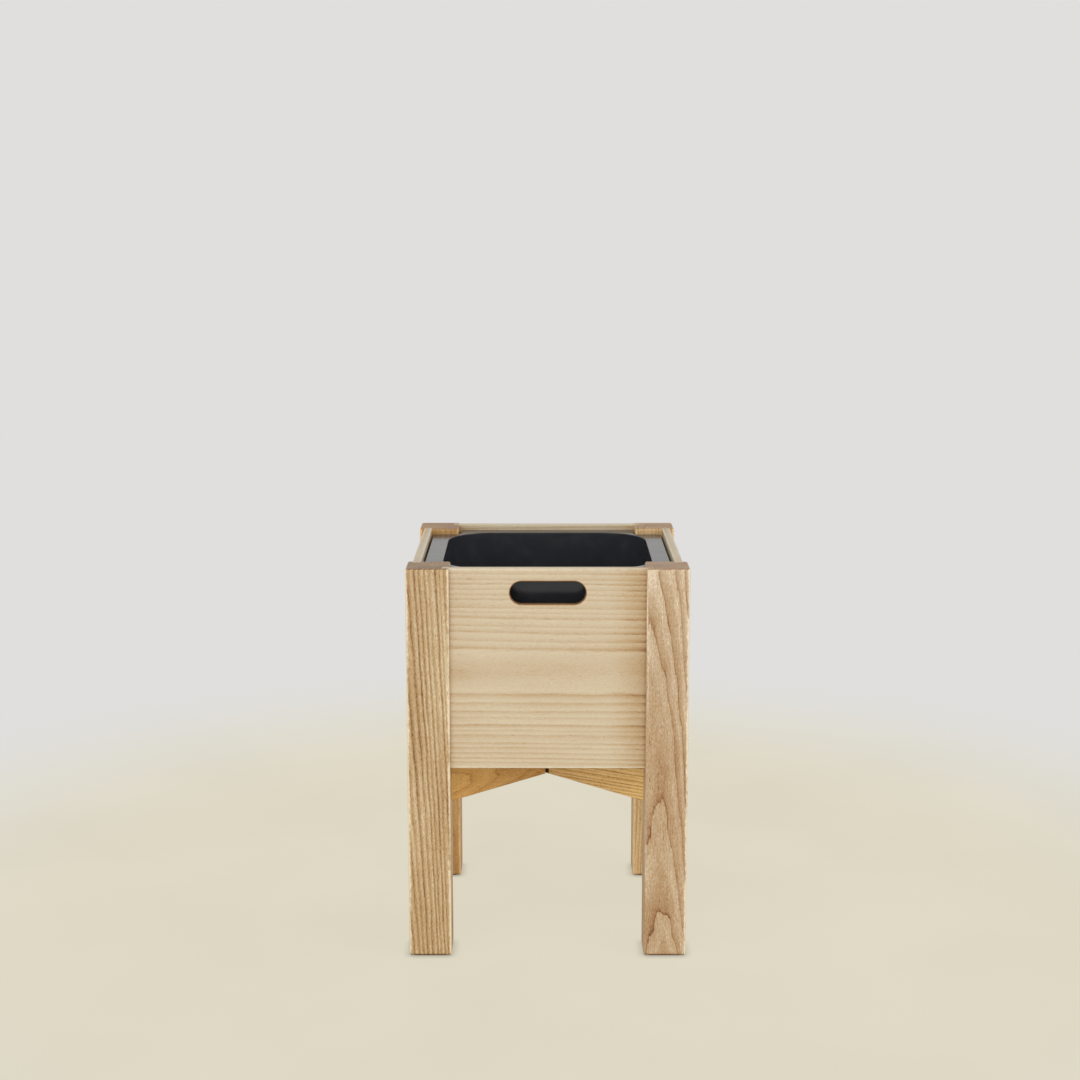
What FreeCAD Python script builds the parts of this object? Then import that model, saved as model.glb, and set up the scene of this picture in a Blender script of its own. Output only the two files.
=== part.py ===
import FreeCAD, Part

import math
import os

os.makedirs("parts", exist_ok=True)

# Square-legged ash planter with a lift-out liner. Millimetres, +Z up, +Y towards the back.
# The origin is on the floor, at the middle of the planter.

# Overall frame: the legs stand at the corners of a square
planter_side = 400.0
leg_side = 61.0
leg_length = 569.0
leg_round = 3.0
foot_chamfer = 1.5

# Rubber foot pads, stuck under the legs and set in from their sides
pad_inset = 5.0
pad_thickness = 2.0
pad_corner = 6.0

# Panels between the legs, let into grooves in them
panel_thickness = 12.0
panel_recess = 7.0
panel_height = 291.0
panel_round = 1.2
groove_depth = 10.0
panel_end_gap = 0.5

# Hand slots in the front and back panels
slot_length = 107.0
slot_height = 32.5
slot_drop = 35.5
slot_round = 2.4

# Crossed rails that carry the box, housed in the inner corners of the legs. Their notches are
# wider than the rails, which leaves a dark gap on each side of the crossing
rail_thickness = 24.0
rail_height = 60.0
rail_round = 1.2
rail_housing = 20.0
rail_end_gap = 0.5
lap_room = 4.0

# Dowels in the rail ends, one above the other
dowel_diameter = 10.0
dowel_length = 50.0
dowel_spacing = 30.0
dowel_chamfer = 1.0

# Bottom board on the rails
board_thickness = 12.0
board_gap = 0.5
board_round = 1.0

# Countersunk wood screws that hold the board down
screw_length = 35.0
screw_shank = 4.0
screw_head = 8.0
screw_tip = 5.0
screw_sunk = 0.3
screw_from_middle = 55.0
screw_from_leg = 44.0
recess_span = 4.6
recess_width = 1.1
recess_depth = 1.6

# Liner: a tapered tub with a flat rim, standing on the board
finger_room = 26.0
liner_leg_gap = 7.5
liner_taper = 12.0
liner_wall = 3.0
liner_foot_round = 8.0
liner_floor_round = 6.0
rim_drop = 8.0
rim_gap = 3.0
rim_corner = 6.0
rim_round = 1.2

# Side clearance of a glued or screwed joint, the spare depth of a blind hole,
# and how far a cut runs past what it cuts
fit_clearance = 0.1
hole_end_gap = 1.0
overrun = 2.0

# Places worked out from the sizes above
half_side = planter_side / 2
leg_inner = half_side - leg_side
leg_centre = half_side - leg_side / 2
frame_top = pad_thickness + leg_length
panel_outer = half_side - panel_recess
panel_inner = panel_outer - panel_thickness
panel_base = frame_top - panel_height
rail_base = panel_base - rail_height
rail_middle = rail_base + rail_height / 2
leg_corner_reach = leg_inner * math.sqrt(2)
rail_reach = leg_corner_reach + rail_housing
board_top = panel_base + board_thickness

UP = FreeCAD.Vector(0, 0, 1)
ORIGIN = FreeCAD.Vector(0, 0, 0)
QUARTER_TURN = 90.0
EIGHTH_TURN = QUARTER_TURN / 2


def block(low, high):
    """A box between two corners."""
    size = [b - a for a, b in zip(low, high)]
    return Part.makeBox(*size, FreeCAD.Vector(*low))


def turned(shape, degrees):
    """A copy turned about the planter's upright axis."""
    copy = shape.copy()
    copy.rotate(ORIGIN, UP, degrees)
    return copy


def edges_where(shape, wanted):
    """The edges whose bounding box passes the test."""
    return [edge for edge in shape.Edges if wanted(edge.BoundBox)]


def is_long(extent, length):
    """True for an edge that runs the piece's whole length."""
    return extent > length - fit_clearance


def save(shape, node):
    """Write one piece, after a look at its solids."""
    solids = shape.Solids
    if not shape.isValid() or not solids:
        raise ValueError(f"{node} is not a sound solid")
    shape.exportStep(f"parts/{node}.step")
    print(f"{node}: {len(solids)} solid(s), {shape.Volume / 1000:.1f} cm3")


def rounded_square(half, corner, z):
    """A closed wire: a square with rounded corners, centred on the upright axis."""
    flat = half - corner
    diagonal = flat + corner * math.sqrt(0.5)
    wire_edges = []
    for turn in range(4):
        side = Part.LineSegment(FreeCAD.Vector(half, -flat, z), FreeCAD.Vector(half, flat, z))
        bend = Part.Arc(
            FreeCAD.Vector(half, flat, z),
            FreeCAD.Vector(diagonal, diagonal, z),
            FreeCAD.Vector(flat, half, z),
        )
        for curve in (side, bend):
            wire_edges.append(turned(curve.toShape(), turn * QUARTER_TURN))
    return Part.Wire(wire_edges)


# Legs


def groove():
    """The groove for the front panel's end, on the +X side of the front left leg."""
    low = (
        -leg_inner - groove_depth,
        -panel_outer - fit_clearance,
        panel_base - fit_clearance,
    )
    high = (-leg_inner + overrun, -panel_inner + fit_clearance, frame_top + overrun)
    return block(low, high)


def rail_bar(half_width, reach, height_low, height_high):
    """A bar along the diagonal from the middle towards the back right leg."""
    bar = block((0, -half_width, height_low), (reach, half_width, height_high))
    return turned(bar, EIGHTH_TURN)


def dowel_places():
    """Heights of the dowels in one rail end."""
    return [rail_middle + side * dowel_spacing / 2 for side in (-1, 1)]


def dowel_bar(radius, start, end, z):
    """A round bar along the same diagonal, between two distances from the middle."""
    bar = Part.makeCylinder(radius, end - start, FreeCAD.Vector(start, 0, z), FreeCAD.Vector(1, 0, 0))
    return turned(bar, EIGHTH_TURN)


def leg():
    """The back right leg, grooved for two panels and housed for one rail end."""
    post = block(
        (leg_inner, leg_inner, pad_thickness),
        (half_side, half_side, frame_top),
    )
    soft = edges_where(post, lambda box: box.ZMax > frame_top - fit_clearance)
    post = post.makeFillet(leg_round, soft)
    foot = edges_where(post, lambda box: box.ZMax < pad_thickness + fit_clearance)
    post = post.makeChamfer(foot_chamfer, foot)
    one_groove = turned(groove(), 2 * QUARTER_TURN)
    other_groove = one_groove.mirror(ORIGIN, FreeCAD.Vector(1, -1, 0))
    housing = rail_bar(
        rail_thickness / 2 + fit_clearance,
        rail_reach,
        rail_base - fit_clearance,
        panel_base + fit_clearance,
    )
    cuts = [one_groove, other_groove, housing]
    hole_end = rail_reach + dowel_length / 2 + hole_end_gap
    for z in dowel_places():
        hole = dowel_bar(dowel_diameter / 2 + fit_clearance, rail_reach - overrun, hole_end, z)
        cuts.append(hole)
    return post.cut(cuts)


# Each corner is a quarter turn on from the one before
CORNERS = ("back_right", "back_left", "front_left", "front_right")
for turn, corner in enumerate(CORNERS):
    save(turned(leg(), turn * QUARTER_TURN), f"leg_{corner}")


# Foot pads


def pad():
    """The pad under the back right leg."""
    square = Part.Face(rounded_square(leg_side / 2 - pad_inset, pad_corner, 0))
    rubber = square.extrude(FreeCAD.Vector(0, 0, pad_thickness))
    rubber.translate(FreeCAD.Vector(leg_centre, leg_centre, 0))
    return rubber


for turn, corner in enumerate(CORNERS):
    save(turned(pad(), turn * QUARTER_TURN), f"foot_pad_{corner}")


# Panels


def slot_cutter():
    """A stadium through the front panel."""
    r = slot_height / 2
    straight = slot_length / 2 - r
    y = -panel_outer - overrun
    z = frame_top - slot_drop
    right = Part.Arc(
        FreeCAD.Vector(straight, y, z - r),
        FreeCAD.Vector(straight + r, y, z),
        FreeCAD.Vector(straight, y, z + r),
    )
    left = Part.Arc(
        FreeCAD.Vector(-straight, y, z + r),
        FreeCAD.Vector(-straight - r, y, z),
        FreeCAD.Vector(-straight, y, z - r),
    )
    top = Part.LineSegment(FreeCAD.Vector(straight, y, z + r), FreeCAD.Vector(-straight, y, z + r))
    foot = Part.LineSegment(FreeCAD.Vector(-straight, y, z - r), FreeCAD.Vector(straight, y, z - r))
    outline = Part.Wire([curve.toShape() for curve in (right, top, left, foot)])
    return Part.Face(outline).extrude(FreeCAD.Vector(0, panel_thickness + 2 * overrun, 0))


def panel(with_slot):
    """The front panel. Its ends sit in the leg grooves, with a little room to swell."""
    half_length = leg_inner + groove_depth - panel_end_gap
    board = block(
        (-half_length, -panel_outer, panel_base),
        (half_length, -panel_inner, frame_top),
    )
    long_edges = edges_where(board, lambda box: is_long(box.XLength, 2 * half_length))
    board = board.makeFillet(panel_round, long_edges)
    if not with_slot:
        return board
    board = board.cut(slot_cutter())

    def on_rim(box):
        within = max(-box.XMin, box.XMax) < slot_length / 2 + fit_clearance
        return within and box.YLength < fit_clearance

    return board.makeFillet(slot_round, edges_where(board, on_rim))


SIDES = ("front", "right", "back", "left")
SLOTTED_SIDES = ("front", "back")
for turn, side in enumerate(SIDES):
    save(turned(panel(side in SLOTTED_SIDES), turn * QUARTER_TURN), f"{side}_panel")


# Screws


def screw_solid(grow, length):
    """A countersunk screw without its recess, from its head at z = 0 down."""
    shank = screw_shank / 2 + grow
    head = screw_head / 2 + grow
    cone = head - shank
    points = [
        (0, 0),
        (head, 0),
        (shank, -cone),
        (shank, screw_tip - length),
        (0, -length),
        (0, 0),
    ]
    outline = Part.makePolygon([FreeCAD.Vector(r, 0, z) for r, z in points])
    return Part.Face(outline).revolve(ORIGIN, UP, 360)


def screw_spots():
    """Each screw's distance from the middle, and the arm of the cross that it is in."""
    distances = (screw_from_middle, leg_corner_reach - screw_from_leg)
    return [(distance, turn) for distance in distances for turn in range(4)]


def set_along_arm(shape, distance, turn):
    """Move a screw, or what cuts its hole, to its place in one arm, with the head in the board."""
    placed = shape.copy()
    placed.translate(FreeCAD.Vector(distance, 0, board_top - screw_sunk))
    return turned(placed, EIGHTH_TURN + turn * QUARTER_TURN)


def screw():
    """One countersunk screw with a cross recess."""
    body = screw_solid(0, screw_length)
    span = recess_span / 2
    width = recess_width / 2
    one = block((-span, -width, -recess_depth), (span, width, overrun))
    return body.cut([one, turned(one, QUARTER_TURN)])


screw_holes = [
    set_along_arm(screw_solid(fit_clearance, screw_length + hole_end_gap), distance, turn)
    for distance, turn in screw_spots()
]
sunk_mouths = [
    set_along_arm(
        Part.makeCylinder(screw_head / 2 + fit_clearance, screw_sunk + overrun),
        distance,
        turn,
    )
    for distance, turn in screw_spots()
]
screws = [set_along_arm(screw(), distance, turn) for distance, turn in screw_spots()]
save(Part.makeCompound(screws), "board_screws")


# Rails


def rail(notch_low, notch_high):
    """The rail towards the back right, notched at the middle between two heights."""
    half_width = rail_thickness / 2
    half_length = rail_reach - rail_end_gap
    bar = block(
        (-half_length, -half_width, rail_base),
        (half_length, half_width, panel_base),
    )
    bar = bar.makeFillet(rail_round, edges_where(bar, lambda box: is_long(box.XLength, 2 * half_length)))
    notch_half = half_width + lap_room
    notch = block(
        (-notch_half, -half_width - overrun, notch_low),
        (notch_half, half_width + overrun, notch_high),
    )
    return turned(bar.cut(notch), EIGHTH_TURN)


def dowel_holes():
    """The dowel holes in both ends of the rail towards the back right."""
    start = rail_reach - rail_end_gap - dowel_length / 2 - hole_end_gap
    holes = []
    for z in dowel_places():
        hole = dowel_bar(dowel_diameter / 2 + fit_clearance, start, rail_reach + overrun, z)
        holes += [hole, turned(hole, 2 * QUARTER_TURN)]
    return holes


lower_notch = rail(rail_base - overrun, rail_middle + fit_clearance)
upper_notch = rail(rail_middle - fit_clearance, panel_base + overrun)
save(lower_notch.cut(dowel_holes() + screw_holes), "rail_upper_lap")
save(turned(upper_notch.cut(dowel_holes()), QUARTER_TURN).cut(screw_holes), "rail_lower_lap")


# Dowels


def dowel(z):
    """One dowel in the back right rail end, half in the rail and half in the leg."""
    middle = rail_reach - rail_end_gap / 2
    start = middle - dowel_length / 2
    pin = Part.makeCylinder(
        dowel_diameter / 2,
        dowel_length,
        FreeCAD.Vector(start, 0, z),
        FreeCAD.Vector(1, 0, 0),
    )
    rims = edges_where(pin, lambda box: box.XLength < fit_clearance)
    return turned(pin.makeChamfer(dowel_chamfer, rims), EIGHTH_TURN)


dowels = [turned(dowel(z), turn * QUARTER_TURN) for turn in range(4) for z in dowel_places()]
save(Part.makeCompound(dowels), "rail_dowels")


# Bottom board


def bottom_board():
    """A square board inside the panels, notched round the legs and drilled for the screws."""
    edge = panel_inner - board_gap
    corner = leg_inner - board_gap
    board = block((-edge, -edge, panel_base), (edge, edge, board_top))
    notches = []
    for turn in range(4):
        notch = block(
            (corner, corner, panel_base - overrun),
            (edge + overrun, edge + overrun, board_top + overrun),
        )
        notches.append(turned(notch, turn * QUARTER_TURN))
    board = board.cut(notches)
    upper = edges_where(board, lambda box: box.ZMin > board_top - fit_clearance)
    board = board.makeFillet(board_round, upper)
    return board.cut(screw_holes + sunk_mouths)


save(bottom_board(), "bottom_board")


# Liner

rim_top = frame_top - rim_drop
liner_height = rim_top - board_top
liner_half = panel_inner - finger_room
# A rounded corner stops short of the square one by this share of its radius
corner_share = math.sqrt(2) - 1
liner_corner = (liner_half * math.sqrt(2) - leg_corner_reach + liner_leg_gap) / corner_share


def tub(inset, low, high):
    """A tapered, round-cornered block; the walls lean out by the taper over the full height."""
    wires = []
    for z in (low, high):
        spread = liner_taper * (rim_top - z) / liner_height
        half = liner_half - inset - spread
        wires.append(rounded_square(half, liner_corner - inset - spread, z))
    return Part.makeLoft(wires, True, True)


def rim_plate():
    """The flat rim: it reaches nearly to the panels, and is notched round the legs."""
    reach = panel_inner - rim_gap
    corner = leg_inner - rim_gap
    low = rim_top - liner_wall
    plate = block((-reach, -reach, low), (reach, reach, rim_top))
    for turn in range(4):
        notch = block((corner, corner, low - overrun), (reach + overrun, reach + overrun, rim_top + overrun))
        plate = plate.cut(turned(notch, turn * QUARTER_TURN))
    upright = edges_where(plate, lambda box: box.ZLength > liner_wall - fit_clearance)
    return plate.makeFillet(rim_corner, upright)


def liner():
    """The tub, its rim and its hollow, with the foot and the floor rounded."""
    shell = tub(0, board_top, rim_top)
    foot = edges_where(shell, lambda box: box.ZMax < board_top + fit_clearance)
    shell = shell.makeFillet(liner_foot_round, foot)
    hollow = tub(liner_wall, board_top + liner_wall, rim_top + overrun)
    floor = edges_where(hollow, lambda box: box.ZMax < board_top + liner_wall + fit_clearance)
    hollow = hollow.makeFillet(liner_floor_round, floor)
    whole = shell.fuse(rim_plate()).cut(hollow).removeSplitter()
    top_edges = edges_where(whole, lambda box: box.ZMin > rim_top - fit_clearance)
    return whole.makeFillet(rim_round, top_edges)


save(liner(), "liner")
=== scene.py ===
import math

import bpy
from mathutils import Euler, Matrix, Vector


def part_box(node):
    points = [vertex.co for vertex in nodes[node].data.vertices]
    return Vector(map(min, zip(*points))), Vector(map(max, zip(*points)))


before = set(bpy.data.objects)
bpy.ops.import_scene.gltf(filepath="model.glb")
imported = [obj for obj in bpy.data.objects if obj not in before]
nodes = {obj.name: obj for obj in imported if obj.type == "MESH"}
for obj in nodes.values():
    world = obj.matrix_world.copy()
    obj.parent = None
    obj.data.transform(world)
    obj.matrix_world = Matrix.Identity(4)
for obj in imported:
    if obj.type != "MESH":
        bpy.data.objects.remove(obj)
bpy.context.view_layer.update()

# Whatever finish the pieces came with is taken off, and each gets its real one below
for node in nodes.values():
    node.data.materials.clear()


# Legs. Four square posts of solid ash, each sawn from another part of the log, so that no two show
# the same grain. They are grooved for the panels and housed for the rails. Their long edges and tops
# are rounded over, and a clear matt lacquer goes on last.

MM = 0.001


def linear(color):
    """An 8-bit sRGB colour as Blender's linear one."""
    shares = [value / 255 for value in color]
    return [c / 12.92 if c <= 0.04045 else ((c + 0.055) / 1.055) ** 2.4 for c in shares] + [1.0]


class Nodes:
    """A material's or world's node tree, and short ways to add to it."""

    def __init__(self, tree):
        self.tree = tree
        tree.nodes.clear()

    def add(self, kind, inputs=None, out=0, **settings):
        """Add a node and return one of its outputs. Inputs are sockets to link or plain values."""
        node = self.tree.nodes.new(kind)
        for name, value in settings.items():
            setattr(node, name, value)
        for key, value in (inputs or {}).items():
            socket = node.inputs[key]
            if isinstance(value, bpy.types.NodeSocket):
                self.tree.links.new(value, socket)
            else:
                socket.default_value = value
        return node.outputs[out] if node.outputs else None

    def here(self):
        """Where a point lies on the object, in metres."""
        return self.add("ShaderNodeTexCoord", out="Object")

    def facing(self):
        """The way the surface faces."""
        return self.add("ShaderNodeNewGeometry", out="True Normal")

    def part(self, vector, axis):
        """One part of a vector, along axis 0, 1 or 2."""
        return self.add("ShaderNodeSeparateXYZ", {0: vector}, out=axis)

    def math(self, operation, a, b=0.0, c=0.0):
        return self.add("ShaderNodeMath", {0: a, 1: b, 2: c}, operation=operation)

    def vector(self, operation, a, b=(0, 0, 0)):
        out = "Value" if operation in ("LENGTH", "DOT_PRODUCT") else "Vector"
        return self.add("ShaderNodeVectorMath", {0: a, 1: b}, out=out, operation=operation)

    def from_upright_axis(self, where):
        """How far a point lies from the z axis."""
        return self.vector("LENGTH", self.vector("MULTIPLY", where, (1, 1, 0)))

    def noise(self, where, size, detail=2.0, color=False):
        """Noise with lumps of about one size, or of three sizes along x, y and z."""
        sizes = size if hasattr(size, "__len__") else (size, size, size)
        scaled = self.vector("MULTIPLY", where, [1 / length for length in sizes])
        inputs = {"Vector": scaled, "Scale": 1.0, "Detail": detail}
        return self.add("ShaderNodeTexNoise", inputs, out="Color" if color else 0)

    def noise_line(self, where, size):
        """Noise along one number."""
        inputs = {"W": self.math("DIVIDE", where, size), "Scale": 1.0, "Detail": 1.0}
        return self.add("ShaderNodeTexNoise", inputs, noise_dimensions="1D")

    def ramp(self, share, stops, interpolation="EASE"):
        """A colour ramp through (place, colour) stops; a plain number is a grey."""
        output = self.add("ShaderNodeValToRGB", {0: share})
        band = output.node.color_ramp
        band.interpolation = interpolation
        while len(band.elements) < len(stops):
            band.elements.new(0.5)
        for element, (place, color) in zip(band.elements, stops):
            element.position = place
            element.color = color if hasattr(color, "__len__") else (color, color, color, 1.0)
        return output

    def smooth(self, value, low, high):
        """0 below low, 1 above high, with a soft step between."""
        inputs = {"Value": value, "From Min": low, "From Max": high}
        return self.add("ShaderNodeMapRange", inputs, interpolation_type="SMOOTHSTEP")

    def relief(self, height, strength, depth):
        """Small relief of this depth, in metres."""
        return self.add("ShaderNodeBump", {"Strength": strength, "Distance": depth, "Height": height})

    def coat(self, inputs):
        """End the material in one coat of lacquer, rubber, metal or plastic."""
        surface = self.add("ShaderNodeBsdfPrincipled", inputs)
        self.add("ShaderNodeOutputMaterial", {"Surface": surface})


def new_material(name):
    material = bpy.data.materials.new(name)
    material.use_nodes = True
    return material, Nodes(material.node_tree)


# How dark the wood is through one year's ring, where the saw crossed the rings and where it ran along them
RIFT_SAWN = ((0.0, 0.25), (0.2, 1.0), (0.42, 0.62), (0.64, 0.08), (0.84, 0.0), (1.0, 0.25))
FLAT_SAWN = ((0.0, 0.12), (0.02, 0.95), (0.05, 0.6), (0.12, 0.36), (0.38, 0.22), (0.66, 0.0), (1.0, 0.12))

# The size of what varies in the wood, in millimetres across the log both ways and along it. Each
# seed is a place one step further along the log
SWAY_SIZE = (70, 70, 420)
WOBBLE_SIZE = (13, 13, 60)
PATCH_SIZE = (20, 20, 300)
DRIFT_SIZE = (38, 38, 190)
FIBRE_SIZE = (1.6, 1.6, 30)
FLECK_SIZE = (1.1, 1.1, 4)
PORE_SIZE = (0.9, 0.9, 11)
DASH_SIZE = (1.6, 1.6, 16)
SEED_STEP = 977.0

# Wide and narrow years come in runs, and some years and some stretches of a year stay faint
YEARS_IN_RUN = 2.6
RUN_SWING = 1.1
FAINTEST_YEAR = 0.6
FAINTEST_PATCH = 0.6
PATCH_SWING = 0.8

# Pores and dark dashes are the peaks of their noise, and the late wood keeps a share of the pores
PORE_LEVELS = (0.6, 0.74)
DASH_LEVELS = (0.79, 0.83)
LATE_PORE_SHARE = 0.3

# How much each thing darkens the wood, from a pale edge at 0 (rubbed, and with a painted highlight) to an
# open pore at 1, and where on that scale a wood's five tones lie
FIBRE_SHADE = 0.4
FLECK_SHADE = 0.9
DRIFT_SHADE = 0.6
PORE_SHADE = 0.18
DASH_SHADE = 0.4
PALEST = 0.12
END_GRAIN = 0.4
END_FACING = (0.5, 0.95)
TONE_PLACES = (0.0, 0.2, 0.45, 0.75, 1.0)

LACQUER_ROUGHNESS = 0.4
PORE_ROUGHNESS = 0.25
FIBRE_RELIEF = 0.5
GRAIN_STRENGTH = 0.35
GRAIN_DEPTH = 0.25 * MM

# How far in a long edge goes pale, partly rubbed and partly a painted highlight, how ragged the border is,
# and how much paler it gets
RUBBED_AND_LIT_EDGE = 4.5 * MM
RAGGED_EDGE = 4.0 * MM
RUB_AND_HIGHLIGHT_PATCH = 9 * MM
WEAR_AND_HIGHLIGHT = 0.75


def edge_rub_and_highlight(n, here, node, across_grain, ends):
    """How pale a piece's long edges go: partly rubbed by hands and cloths, partly a painted highlight where
    the rounding catches the light. Across its grain run two of the axes 0, 1 and 2, and ends are the paling's
    shares at the piece's low and high x."""
    low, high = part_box(node)
    near_low = n.vector("SUBTRACT", here, low)
    near_high = n.vector("SUBTRACT", high, here)
    nearest = n.vector("MINIMUM", near_low, near_high)
    from_edge = n.math("MAXIMUM", *(n.part(nearest, axis) for axis in across_grain))
    ragged = n.math("MULTIPLY_ADD", n.noise(here, RUB_AND_HIGHLIGHT_PATCH), RAGGED_EDGE, from_edge)
    near = n.math("SUBTRACT", 1.0, n.smooth(ragged, RAGGED_EDGE / 2, RAGGED_EDGE / 2 + RUBBED_AND_LIT_EDGE))
    across = {"Value": n.part(here, 0), "From Min": low.x, "From Max": high.x}
    share = n.add("ShaderNodeMapRange", {**across, "To Min": ends[0], "To Max": ends[1]})
    return n.math("MULTIPLY", near, share)


def inside_log(n, here, seed, pith, lean, sway, wobble):
    """A point's place in its log, in millimetres with the pith along z. It shifts slowly and wobbles a
    little, so that the rings aren't true circles."""
    placing = {"Vector": here, "Location": pith, "Rotation": lean, "Scale": (MM, MM, MM)}
    log = n.add("ShaderNodeMapping", placing, vector_type="TEXTURE")
    log = n.vector("ADD", log, (0, 0, seed * SEED_STEP))
    for size, reach in ((SWAY_SIZE, sway), (WOBBLE_SIZE, wobble)):
        shift = n.noise(log, size, detail=0.5, color=True)
        shift = n.vector("SUBTRACT", shift, (0.5, 0.5, 0.5))
        shift = n.vector("MULTIPLY", shift, (2 * reach, 2 * reach, 0))
        log = n.vector("ADD", log, shift)
    return log


def growth_rings(n, log, ring, fibre, fray, season):
    """How far a point is into its year's open early wood, and how dark its ring is there, with some years
    and stretches fainter."""
    rings = n.math("DIVIDE", n.from_upright_axis(log), ring)
    rings = n.math("ADD", rings, n.math("MULTIPLY", n.noise_line(rings, YEARS_IN_RUN), RUN_SWING))
    rings = n.math("ADD", rings, n.math("MULTIPLY", fibre, fray))
    early = n.ramp(n.math("FRACT", rings), season)
    luck = n.add("ShaderNodeTexWhiteNoise", {"W": n.math("FLOOR", rings)}, noise_dimensions="1D")
    band = n.math("MULTIPLY", early, n.math("MULTIPLY_ADD", luck, 1 - FAINTEST_YEAR, FAINTEST_YEAR))
    patchy = n.math("MULTIPLY_ADD", n.noise(log, PATCH_SIZE), PATCH_SWING, FAINTEST_PATCH)
    return early, n.math("MULTIPLY", band, patchy)


def sawn_wood(
    name, node, seed, pith, lean, ring, tones, season=RIFT_SAWN, bands=0.5, ground=0.25, fray=0.3, figure=1.0,
    sway=5.0, wobble=0.9, across_grain=None, rub_and_highlight=(1.0, 1.0), own_shades=None,
):
    """Lacquered wood. Growth rings wrap a log whose pith passes through a point, in metres, and leans by some
    degrees. Ring, sway and wobble are in millimetres. Bands, ground and figure say how dark the rings, the
    wood between them and its flecks are, fray how feathered the rings are, and own_shades adds what is
    darker on this piece alone. Tones run from a pale edge, rubbed and with a painted highlight, to an open
    pore."""
    material, n = new_material(name)
    here = n.here()
    lean = [math.radians(angle) for angle in lean]
    log = inside_log(n, here, seed, pith, lean, sway, wobble)
    fibre = n.noise(log, FIBRE_SIZE)
    early, band = growth_rings(n, log, ring, fibre, fray, season)

    # Flecks and open pores run along the log, and the pores crowd in the early wood
    fleck = n.noise(log, FLECK_SIZE)
    drift = n.noise(log, DRIFT_SIZE)
    pore = n.smooth(n.noise(log, PORE_SIZE, detail=1.0), *PORE_LEVELS)
    pore = n.math("MULTIPLY", pore, n.math("MULTIPLY_ADD", early, 1 - LATE_PORE_SHARE, LATE_PORE_SHARE))
    dash = n.smooth(n.noise(log, DASH_SIZE, detail=0.0), *DASH_LEVELS)

    depth = n.math("MULTIPLY_ADD", band, bands, ground)
    for part, shade in ((fibre, FIBRE_SHADE), (fleck, FLECK_SHADE), (drift, DRIFT_SHADE)):
        depth = n.math("ADD", depth, n.math("MULTIPLY", n.math("SUBTRACT", part, 0.5), shade * figure))
    depth = n.math("ADD", depth, n.math("MULTIPLY", pore, PORE_SHADE))
    depth = n.math("MAXIMUM", depth, PALEST)
    depth = n.math("ADD", depth, n.math("MULTIPLY", dash, DASH_SHADE * figure))

    # Edges go pale, partly from rubbing and partly as a painted highlight, and end grain drinks the lacquer
    # and goes dark
    if across_grain:
        worn_and_lit = edge_rub_and_highlight(n, here, node, across_grain, rub_and_highlight)
        depth = n.math("SUBTRACT", depth, n.math("MULTIPLY", worn_and_lit, WEAR_AND_HIGHLIGHT))
    grain = Euler(lean).to_matrix() @ Vector((0, 0, 1))
    along_grain = n.math("ABSOLUTE", n.vector("DOT_PRODUCT", n.facing(), grain))
    depth = n.math("ADD", depth, n.math("MULTIPLY", n.smooth(along_grain, *END_FACING), END_GRAIN))
    if own_shades:
        depth = n.math("ADD", depth, own_shades(n, here))

    height = n.math("ADD", n.math("MULTIPLY", pore, -1.0), n.math("MULTIPLY", fibre, FIBRE_RELIEF))
    n.coat({
        "Base Color": n.ramp(depth, list(zip(TONE_PLACES, map(linear, tones))), "LINEAR"),
        "Roughness": n.math("MULTIPLY_ADD", pore, PORE_ROUGHNESS, LACQUER_ROUGHNESS),
        "Normal": n.relief(height, GRAIN_STRENGTH, GRAIN_DEPTH),
        "Specular IOR Level": 0.5,
    })
    return material


SHARP_ANGLE = 40
SAME_POINT = 0.001 * MM


def finish_node(node, material):
    """Give a CAD piece its material. The weld joins its faces' shared points, so that round edges are shaded
    smooth, and the split keeps its corners sharp."""
    piece = nodes[node]
    piece.data.materials.append(material)
    piece.data.polygons.foreach_set("use_smooth", [True] * len(piece.data.polygons))
    weld = piece.modifiers.new("weld", "WELD")
    weld.merge_threshold = SAME_POINT
    corners = piece.modifiers.new("corners", "EDGE_SPLIT")
    corners.split_angle = math.radians(SHARP_ANGLE)
    corners.use_edge_sharp = False
    piece.modifiers.new("normals", "WEIGHTED_NORMAL")


FOOT_RIM = 4 * MM


def leg_shades(paler_top=0.0):
    """The chamfered foot is end grain and goes dark, and a leg may turn paler towards its top."""

    def shades(n, here):
        low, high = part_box("leg_front_left")
        height = n.part(here, 2)
        foot = n.math("SUBTRACT", 1.0, n.smooth(height, low.z, low.z + FOOT_RIM))
        top = n.smooth(height, (low.z + high.z) / 2, high.z)
        return n.math("SUBTRACT", n.math("MULTIPLY", foot, END_GRAIN), n.math("MULTIPLY", top, paler_top))

    return shades


STRAW = ((242, 222, 188), (212, 191, 156), (194, 162, 116), (170, 131, 83), (112, 78, 48))
ROSY = ((240, 222, 194), (211, 187, 155), (189, 158, 120), (166, 123, 80), (124, 80, 48))
# The back legs' tones stand partly for light: HONEY is paler as painted light on the back right leg, which
# the lamps leave in shadow, and CARAMEL is darker as painted shade where the front left leg shades the back
# left one
HONEY = ((242, 214, 168), (222, 188, 138), (206, 168, 114), (176, 134, 82), (118, 80, 46))
CARAMEL = ((236, 196, 140), (204, 162, 106), (188, 142, 84), (162, 116, 64), (118, 80, 46))
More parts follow.
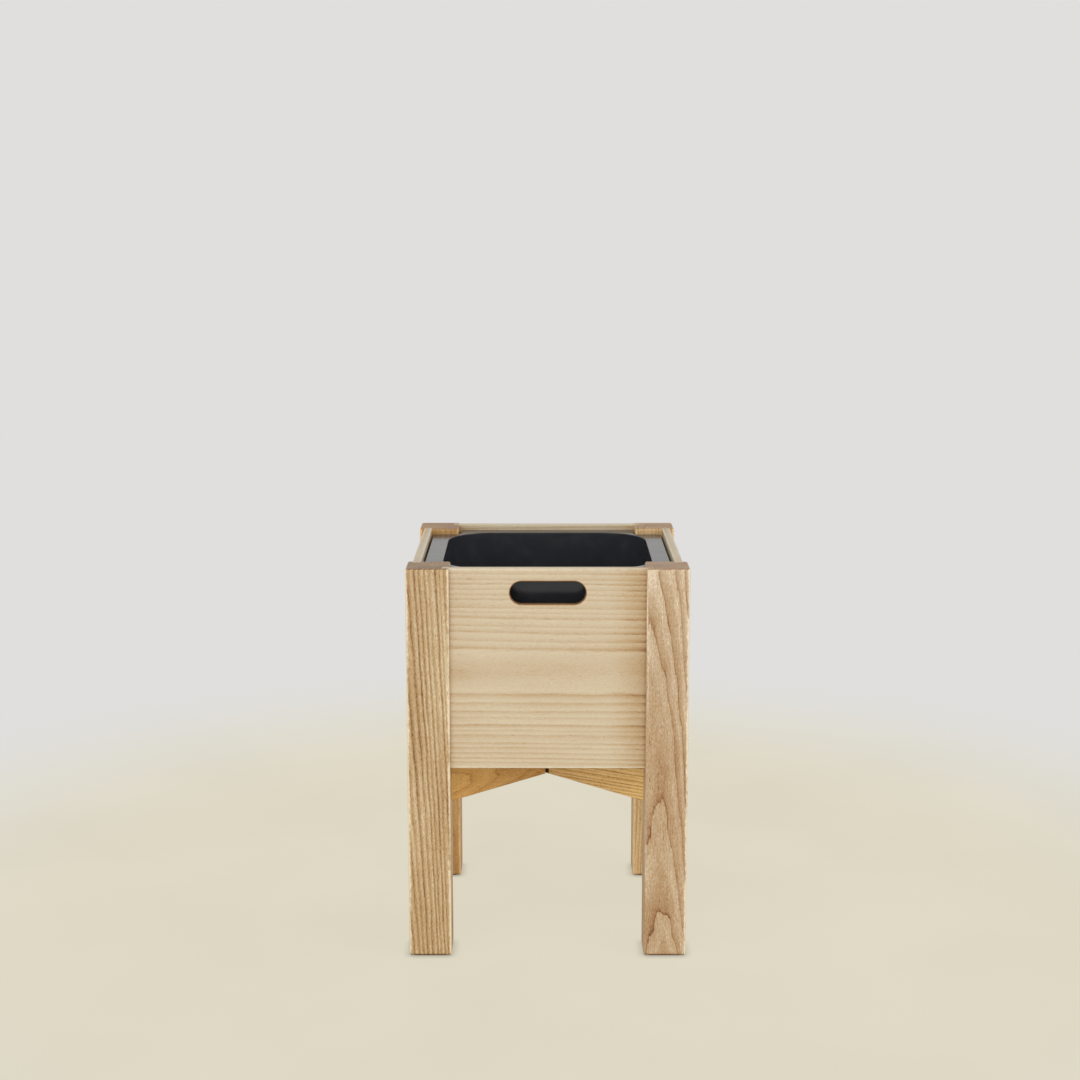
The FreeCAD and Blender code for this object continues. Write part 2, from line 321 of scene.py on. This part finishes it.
# A leg's rub_and_highlight shares set its pale edges, rubbed and with a painted highlight, stronger on the
# front legs' outer edges than beside the panels
LEG_LOGS = {
    "front_left": dict(
        seed=1.0, pith=(-0.220, -0.160, 0.0), lean=(-2.2, -0.8, 0), ring=5.0, tones=STRAW, bands=0.54,
        ground=0.31, fray=0.14, figure=1.05, sway=3.0, rub_and_highlight=(1.15, 0.8), own_shades=leg_shades(),
    ),
    "front_right": dict(
        seed=17.0, pith=(0.154, -0.050, 0.033), lean=(-1.2, -1.0, 0), ring=3.4, tones=ROSY, season=FLAT_SAWN,
        bands=0.9, ground=0.34, fray=0.13, sway=6.0, wobble=1.0, rub_and_highlight=(0.15, 1.1),
        own_shades=leg_shades(paler_top=0.19),
    ),
    "back_left": dict(
        seed=33.0, pith=(-0.120, 0.250, 0.0), lean=(1.5, 2.0, 0), ring=4.5, tones=CARAMEL, bands=0.35,
        own_shades=leg_shades(),
    ),
    "back_right": dict(
        seed=49.0, pith=(0.235, 0.120, 0.0), lean=(-2.0, 3.0, 0), ring=6.0, tones=HONEY, bands=0.3,
        own_shades=leg_shades(),
    ),
}
for corner, log in LEG_LOGS.items():
    node = f"leg_{corner}"
    finish_node(node, sawn_wood(f"ash_{node}", node, across_grain=(0, 1), **log))


# Foot pads. Thin squares of dark rubber sheet, stuck under the legs a little way in from their
# sides, so that the end grain stays off a wet floor.

PAD_RUBBER = (58, 54, 50)
PAD_DUST = (96, 90, 82)
PAD_DUST_SIZE = 9 * MM
PEBBLE_SIZE = 0.5 * MM
PEBBLE_DEPTH = 0.1 * MM
PEBBLE_STRENGTH = 0.4
RUBBER_ROUGHNESS = 0.7
PAD_DUST_ROUGHNESS = 0.2


def rubber(name):
    """Dull rubber with a fine pebble and a little dust."""
    material, n = new_material(name)
    here = n.here()
    dust = n.noise(here, PAD_DUST_SIZE, detail=4.0)
    n.coat({
        "Base Color": n.ramp(dust, [(0.45, linear(PAD_RUBBER)), (0.8, linear(PAD_DUST))]),
        "Roughness": n.math("MULTIPLY_ADD", dust, PAD_DUST_ROUGHNESS, RUBBER_ROUGHNESS),
        "Normal": n.relief(n.noise(here, PEBBLE_SIZE), PEBBLE_STRENGTH, PEBBLE_DEPTH),
        "Specular IOR Level": 0.3,
    })
    return material


pad_rubber = rubber("pad_rubber")
for corner in LEG_LOGS:
    finish_node(f"foot_pad_{corner}", pad_rubber)


# Rails. Two ash bars that cross under the box in a half-lap and end in the legs' inner corners.
# They carry the box, and are a warmer, more yellow ash than the rest. Their tones are also brightened as
# painted bounce light under the box, the upper lap's darker AMBER tones paint shade on it, and both sets end
# near black for the painted shade in the notch.

# AMBER is the darker set and paints shade on the upper lap; GOLD is lighter, and both are brightened as
# painted bounce light
AMBER = ((240, 200, 134), (229, 184, 110), (212, 160, 84), (182, 124, 58), (66, 40, 20))
GOLD = ((244, 214, 160), (236, 202, 140), (222, 182, 114), (186, 138, 76), (66, 40, 20))
RAIL_LOGS = {
    "rail_upper_lap": dict(
        seed=11.0, pith=(-0.045, 0.045, 0.25), lean=(0, 90, 49.5), ring=5.0, tones=AMBER, season=FLAT_SAWN,
        ground=0.3, fray=0.14, sway=4.0, wobble=2.2,
    ),
    "rail_lower_lap": dict(
        seed=12.0, pith=(0.02, 0.0, 0.330), lean=(0, 95.0, 135), ring=5.0, tones=GOLD, bands=0.6, sway=3.0,
        wobble=0.4,
    ),
}
# How far from the crossing the painted shade in the notch reaches, how it fades, and how dark it is
LAP_REACH = 20 * MM
LAP_FADE = 1 * MM
LAP_PAINTED_SHADE = 0.9


def lap_painted_shade(n, here):
    """Painted shade darkens the open notch where the rails cross, standing in for the shadow inside it. Their
    lower faces stay clear of it.
    """
    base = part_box("rail_lower_lap")[0].z
    within = n.math("SUBTRACT", 1.0, n.smooth(n.from_upright_axis(here), LAP_REACH - LAP_FADE, LAP_REACH))
    above = n.smooth(n.part(here, 2), base, base + LAP_FADE)
    return n.math("MULTIPLY", n.math("MULTIPLY", within, above), LAP_PAINTED_SHADE)


for node, log in RAIL_LOGS.items():
    finish_node(node, sawn_wood(f"ash_{node}", node, own_shades=lap_painted_shade, **log))


# Rail dowels. Turned beech pins, one above the other in each rail end, glued half into the rail and
# half into the leg. Beech has finer, fainter rings than ash.

BEECH_TONES = ((226, 190, 150), (214, 176, 134), (196, 154, 112), (176, 134, 94), (140, 102, 70))
BEECH_LOG = dict(seed=21.0, pith=(0.05, 0.0, 0.25), lean=(0, 90, 45), ring=2.2, bands=0.2)
finish_node("rail_dowels", sawn_wood("beech", "rail_dowels", tones=BEECH_TONES, **BEECH_LOG))


# Bottom board. A square of birch plywood on the rails, notched round the legs. Its edges show the
# plies, and the liner stands on it.

BIRCH_TONES = ((232, 212, 178), (222, 199, 160), (208, 181, 140), (190, 158, 116), (150, 116, 80))
BIRCH_LOG = dict(
    seed=31.0, pith=(0.0, 0.05, 0.9), lean=(0, 90, 0), ring=11.0, bands=0.25, sway=30.0, wobble=5.0
)
PLY_COUNT = 9
PLY_SHADE = 0.28


def plies(n, here):
    """Every other ply is darker, which shows on the board's edges only."""
    low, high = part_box("bottom_board")
    layer = (high.z - low.z) / PLY_COUNT
    height = n.math("DIVIDE", n.part(here, 2), layer)
    odd = n.math("GREATER_THAN", n.math("PINGPONG", height, 1.0), 0.5)
    sideways = n.math("LESS_THAN", n.math("ABSOLUTE", n.part(n.facing(), 2)), 0.5)
    return n.math("MULTIPLY", n.math("MULTIPLY", odd, sideways), PLY_SHADE)


birch = sawn_wood("birch_plywood", "bottom_board", tones=BIRCH_TONES, own_shades=plies, **BIRCH_LOG)
finish_node("bottom_board", birch)


# Board screws. Zinc-plated countersunk wood screws, two in each arm of the cross, driven down
# through the board into the rails.

ZINC_DULL = (172, 174, 176)
ZINC_BRIGHT = (205, 206, 204)
ZINC_CLOUD_SIZE = 3 * MM
ZINC_ROUGHNESS = 0.22
CLOUD_ROUGHNESS = 0.25


def zinc_plating(name):
    """Bright zinc plating, a little cloudy."""
    material, n = new_material(name)
    cloud = n.noise(n.here(), ZINC_CLOUD_SIZE, detail=3.0)
    n.coat({
        "Base Color": n.ramp(cloud, [(0.3, linear(ZINC_DULL)), (0.7, linear(ZINC_BRIGHT))]),
        "Metallic": 1.0,
        "Roughness": n.math("MULTIPLY_ADD", cloud, CLOUD_ROUGHNESS, ZINC_ROUGHNESS),
    })
    return material


finish_node("board_screws", zinc_plating("zinc"))


# Panels. Four wide ash boards with level grain, their ends glued into grooves in the legs. The
# front and the back one have a hand slot, whose wall and the inner part of its rounded edge are coloured
# darker.

CREAM_ASH = ((226, 211, 184), (217, 201, 171), (206, 184, 151), (188, 155, 110), (146, 102, 60))
THIN_LINES = ((0.0, 0.4), (0.1, 0.9), (0.26, 0.6), (0.52, 0.26), (0.85, 0.02), (1.0, 0.4))
PANEL_WOOD = dict(
    tones=CREAM_ASH, season=THIN_LINES, bands=0.39, figure=0.45, sway=3.0, wobble=0.3, rub_and_highlight=(0.5, 0.5)
)

# The slot's clear opening, how far its middle line lies under the panel's top, how dark its edge is, and
# how far out from the opening that reaches and fades
SLOT_LONG = 107 * MM
SLOT_HIGH = 32.5 * MM
SLOT_DROP = 35.5 * MM
SLOT_RIM_DARKENING = 0.56
SLOT_DARK_REACH = 1.9 * MM
SLOT_DARK_FADE = 1.0 * MM


def slot_rim(n, here):
    """The slot's wall and the inner part of its rounded edge, by how far they are from its middle line."""
    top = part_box("front_panel")[1].z
    straight = (SLOT_LONG - SLOT_HIGH) / 2
    beyond = n.math("MAXIMUM", n.math("SUBTRACT", n.math("ABSOLUTE", n.part(here, 0)), straight), 0.0)
    above = n.math("SUBTRACT", n.part(here, 2), top - SLOT_DROP)
    away = n.math("SQRT", n.math("ADD", n.math("MULTIPLY", beyond, beyond), n.math("MULTIPLY", above, above)))
    reach = SLOT_HIGH / 2 + SLOT_DARK_REACH
    inside = n.math("SUBTRACT", 1.0, n.smooth(away, reach - SLOT_DARK_FADE, reach))
    return n.math("MULTIPLY", inside, SLOT_RIM_DARKENING)


# How far the painted shade reaches along a panel from a leg, and how far and how much more it darkens the
# corner
PAINTED_SHADE_REACH = 60 * MM
CORNER_REACH = 5 * MM
CORNER_SHARE = 0.5


def painted_shade_beside_legs(n, here, along, shades):
    """Painted shade that darkens a panel towards the legs, and more in the corner itself: the shades are
    those at the low and the high end of a panel that runs along this axis."""
    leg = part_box("leg_front_right")[0].x
    total = 0.0
    for side, shade in zip((-1.0, 1.0), shades):
        out = n.math("MULTIPLY", n.part(here, along), side)
        wide = n.math("MULTIPLY", n.smooth(out, leg - PAINTED_SHADE_REACH, leg), shade)
        tight = n.math("MULTIPLY", n.smooth(out, leg - CORNER_REACH, leg), CORNER_SHARE * shade)
        total = n.math("ADD", total, n.math("ADD", wide, tight))
    return total


# How far down a face looks where the rounding along a panel's foot begins and where it meets the flat foot
ROUNDING_BEGINS = (0.25, 0.55)
ROUNDING_ENDS = (0.95, 0.99)
# How dark the painted shade on that rounding is
ARRIS_PAINTED_SHADE = 0.9


def painted_shade_on_foot_rounding(n):
    """The rounding along a panel's foot looks at the floor, and painted shade darkens it. The flat foot
    doesn't get it.
    """
    down = n.math("MULTIPLY", n.part(n.facing(), 2), -1.0)
    flat = n.smooth(down, *ROUNDING_ENDS)
    band = n.math("MULTIPLY", n.smooth(down, *ROUNDING_BEGINS), n.math("SUBTRACT", 1.0, flat))
    return n.math("MULTIPLY", band, ARRIS_PAINTED_SHADE)


def panel_shades(along, painted_shade_by_legs, slot=False):
    """What is darker on a panel: painted shade at its ends beside the legs and on the rounding along its
    foot, and, where it has one, its slot's rim.
    """

    def shades(n, here):
        edges = n.math("ADD", painted_shade_beside_legs(n, here, along, painted_shade_by_legs), painted_shade_on_foot_rounding(n))
        return n.math("ADD", slot_rim(n, here), edges) if slot else edges

    return shades


# A panel's painted_shade_by_legs is the painted shade at its low and its high end beside the legs
PANEL_LOGS = {
    "front": dict(
        seed=41.0, pith=(0.0, -0.1094, 0.421), lean=(0, 90.6, 0), ring=6.2, across_grain=(1, 2),
        own_shades=panel_shades(along=0, painted_shade_by_legs=(0.08, 0.30), slot=True),
    ),
    "back": dict(
        seed=42.0, pith=(0.0, 0.100, 0.455), lean=(0, 89.2, 0), ring=5.6, across_grain=(1, 2),
        own_shades=panel_shades(along=0, painted_shade_by_legs=(0.10, 0.16), slot=True),
    ),
    "left": dict(
        seed=43.0, pith=(-0.105, 0.0, 0.395), lean=(0, 90.5, 90), ring=6.0, across_grain=(0, 2),
        own_shades=panel_shades(along=1, painted_shade_by_legs=(0.14, 0.10)),
    ),
    "right": dict(
        seed=44.0, pith=(0.112, 0.0, 0.440), lean=(0, 89.4, 90), ring=6.6, across_grain=(0, 2),
        own_shades=panel_shades(along=1, painted_shade_by_legs=(0.10, 0.18)),
    ),
}
for side, log in PANEL_LOGS.items():
    node = f"{side}_panel"
    finish_node(node, sawn_wood(f"ash_{node}", node, **PANEL_WOOD, **log))


# Liner. One vacuum-formed tub of gloss black plastic with a flat rim. It stands loose on the
# bottom board and lifts out by the rim.

LINER_BLACK = (49, 50, 54)
LINER_DUST = (57, 58, 62)
LINER_DUST_SIZE = 30 * MM
LINER_ROUGHNESS = 0.06
DUST_ROUGHNESS = 0.16
WAVE_SIZE = 45 * MM
WAVE_DEPTH = 1.5 * MM
WAVE_STRENGTH = 0.25
RUB_MARK_SIZE = (0.8 * MM, 0.8 * MM, 14 * MM)
RUB_MARK_SHARE = 0.01


def gloss_plastic(name):
    """Gloss black plastic: faint waves from forming, fine rub marks and a trace of dust."""
    material, n = new_material(name)
    here = n.here()
    dust = n.noise(here, LINER_DUST_SIZE, detail=5.0)
    wave = n.noise(here, WAVE_SIZE, detail=1.0)
    height = n.math("ADD", wave, n.math("MULTIPLY", n.noise(here, RUB_MARK_SIZE), RUB_MARK_SHARE))
    n.coat({
        "Base Color": n.ramp(dust, [(0.45, linear(LINER_BLACK)), (0.85, linear(LINER_DUST))]),
        "Roughness": n.math("MULTIPLY_ADD", dust, DUST_ROUGHNESS, LINER_ROUGHNESS),
        "Normal": n.relief(height, WAVE_STRENGTH, WAVE_DEPTH),
        "IOR": 1.5,
    })
    return material


finish_node("liner", gloss_plastic("liner_black"))


# Studio. A pale floor that fades into a plain backdrop, a large soft light from the front left, a
# smaller one from the right, and the camera where the photograph was taken from.

FLOOR_CREAM = (228, 222, 202)
FLOOR_CREAM_DULL = (225, 219, 199)
FLOOR_MOTTLE = 0.35
FLOOR_ROUGHNESS = 0.55
FLOOR_RADIUS = 4.0
FLOOR_STEPS = 96
FLOOR_PLAIN = 0.75
FLOOR_GONE = 1.6
FLOOR_EVEN = 0.85
CONTACT_REACH = 12 * MM
CONTACT_SHADE = 0.5


def floor_material():
    """A pale floor. The camera sees most of its colour evenly lit, so that shadows on it stay light, with a
    soft contact shade. Far out the floor fades away."""
    material, n = new_material("studio_floor")
    here = n.here()
    mottle = n.noise(here, FLOOR_MOTTLE)
    color = n.ramp(mottle, [(0.3, linear(FLOOR_CREAM_DULL)), (0.7, linear(FLOOR_CREAM))])
    painted = n.add("ShaderNodeBsdfPrincipled", {"Base Color": color, "Roughness": FLOOR_ROUGHNESS})
    clearance = n.add("ShaderNodeAmbientOcclusion", {"Distance": CONTACT_REACH}, out="AO", samples=8)
    strength = n.math("MULTIPLY_ADD", clearance, CONTACT_SHADE, 1 - CONTACT_SHADE)
    even = n.add("ShaderNodeEmission", {"Color": color, "Strength": strength})
    rays = n.add("ShaderNodeLightPath").node.outputs
    seen = n.math("MULTIPLY", rays["Is Camera Ray"], FLOOR_EVEN)
    near = n.add("ShaderNodeMixShader", {0: seen, 1: painted, 2: even})
    fade = n.smooth(n.from_upright_axis(here), FLOOR_PLAIN, FLOOR_GONE)
    clear = n.add("ShaderNodeBsdfTransparent")
    surface = n.add("ShaderNodeMixShader", {0: fade, 1: near, 2: clear})
    n.add("ShaderNodeOutputMaterial", {"Surface": surface})
    return material


turns = [2 * math.pi * i / FLOOR_STEPS for i in range(FLOOR_STEPS)]
rim = [(FLOOR_RADIUS * math.cos(turn), FLOOR_RADIUS * math.sin(turn), 0) for turn in turns]
floor_mesh = bpy.data.meshes.new("studio_floor")
floor_mesh.from_pydata(rim, [], [list(range(FLOOR_STEPS))])
floor_mesh.materials.append(floor_material())
floor = bpy.data.objects.new("studio_floor", floor_mesh)
bpy.context.collection.objects.link(floor)

BACKDROP = (224, 223, 221)
WHITE = (1.0, 1.0, 1.0, 1.0)
ROOM_LIGHT = 0.55
world = bpy.data.worlds.new("studio")
bpy.context.scene.world = world
world.use_nodes = True
n = Nodes(world.node_tree)
rays = n.add("ShaderNodeLightPath").node.outputs
shown = n.math("MAXIMUM", rays["Is Camera Ray"], rays["Is Glossy Ray"])
shown = n.math("MAXIMUM", shown, rays["Is Transmission Ray"])
room = n.add("ShaderNodeBackground", {"Color": WHITE, "Strength": ROOM_LIGHT})
backdrop = n.add("ShaderNodeBackground", {"Color": linear(BACKDROP), "Strength": 1.0})
surface = n.add("ShaderNodeMixShader", {0: shown, 1: room, 2: backdrop})
n.add("ShaderNodeOutputWorld", {"Surface": surface})

DAYLIGHT = (1.0, 0.99, 0.97)


def soft_light(name, towards, spread, power):
    """A far, even light that comes from a direction. The wider its spread, the softer its shadows."""
    lamp = bpy.data.lights.new(name, "SUN")
    lamp.angle = math.radians(spread)
    lamp.energy = power
    lamp.color = DAYLIGHT
    light = bpy.data.objects.new(name, lamp)
    bpy.context.collection.objects.link(light)
    light.rotation_euler = Vector(towards).to_track_quat("Z", "Y").to_euler()


soft_light("window_left", towards=(-0.45, -0.85, 0.28), spread=60, power=1.15)
soft_light("window_right", towards=(0.85, -0.45, 0.30), spread=40, power=0.85)

CAMERA_PLACE = (-0.011, -2.85, 1.075)
CAMERA_PITCH = 9.9
CAMERA_LENS = 64.3
camera_data = bpy.data.cameras.new("camera")
camera_data.lens = CAMERA_LENS
camera = bpy.data.objects.new("camera", camera_data)
bpy.context.collection.objects.link(camera)
camera.location = CAMERA_PLACE
camera.rotation_euler = (math.radians(90 - CAMERA_PITCH), 0, 0)
scene = bpy.context.scene
scene.camera = camera
scene.view_settings.view_transform = "Standard"
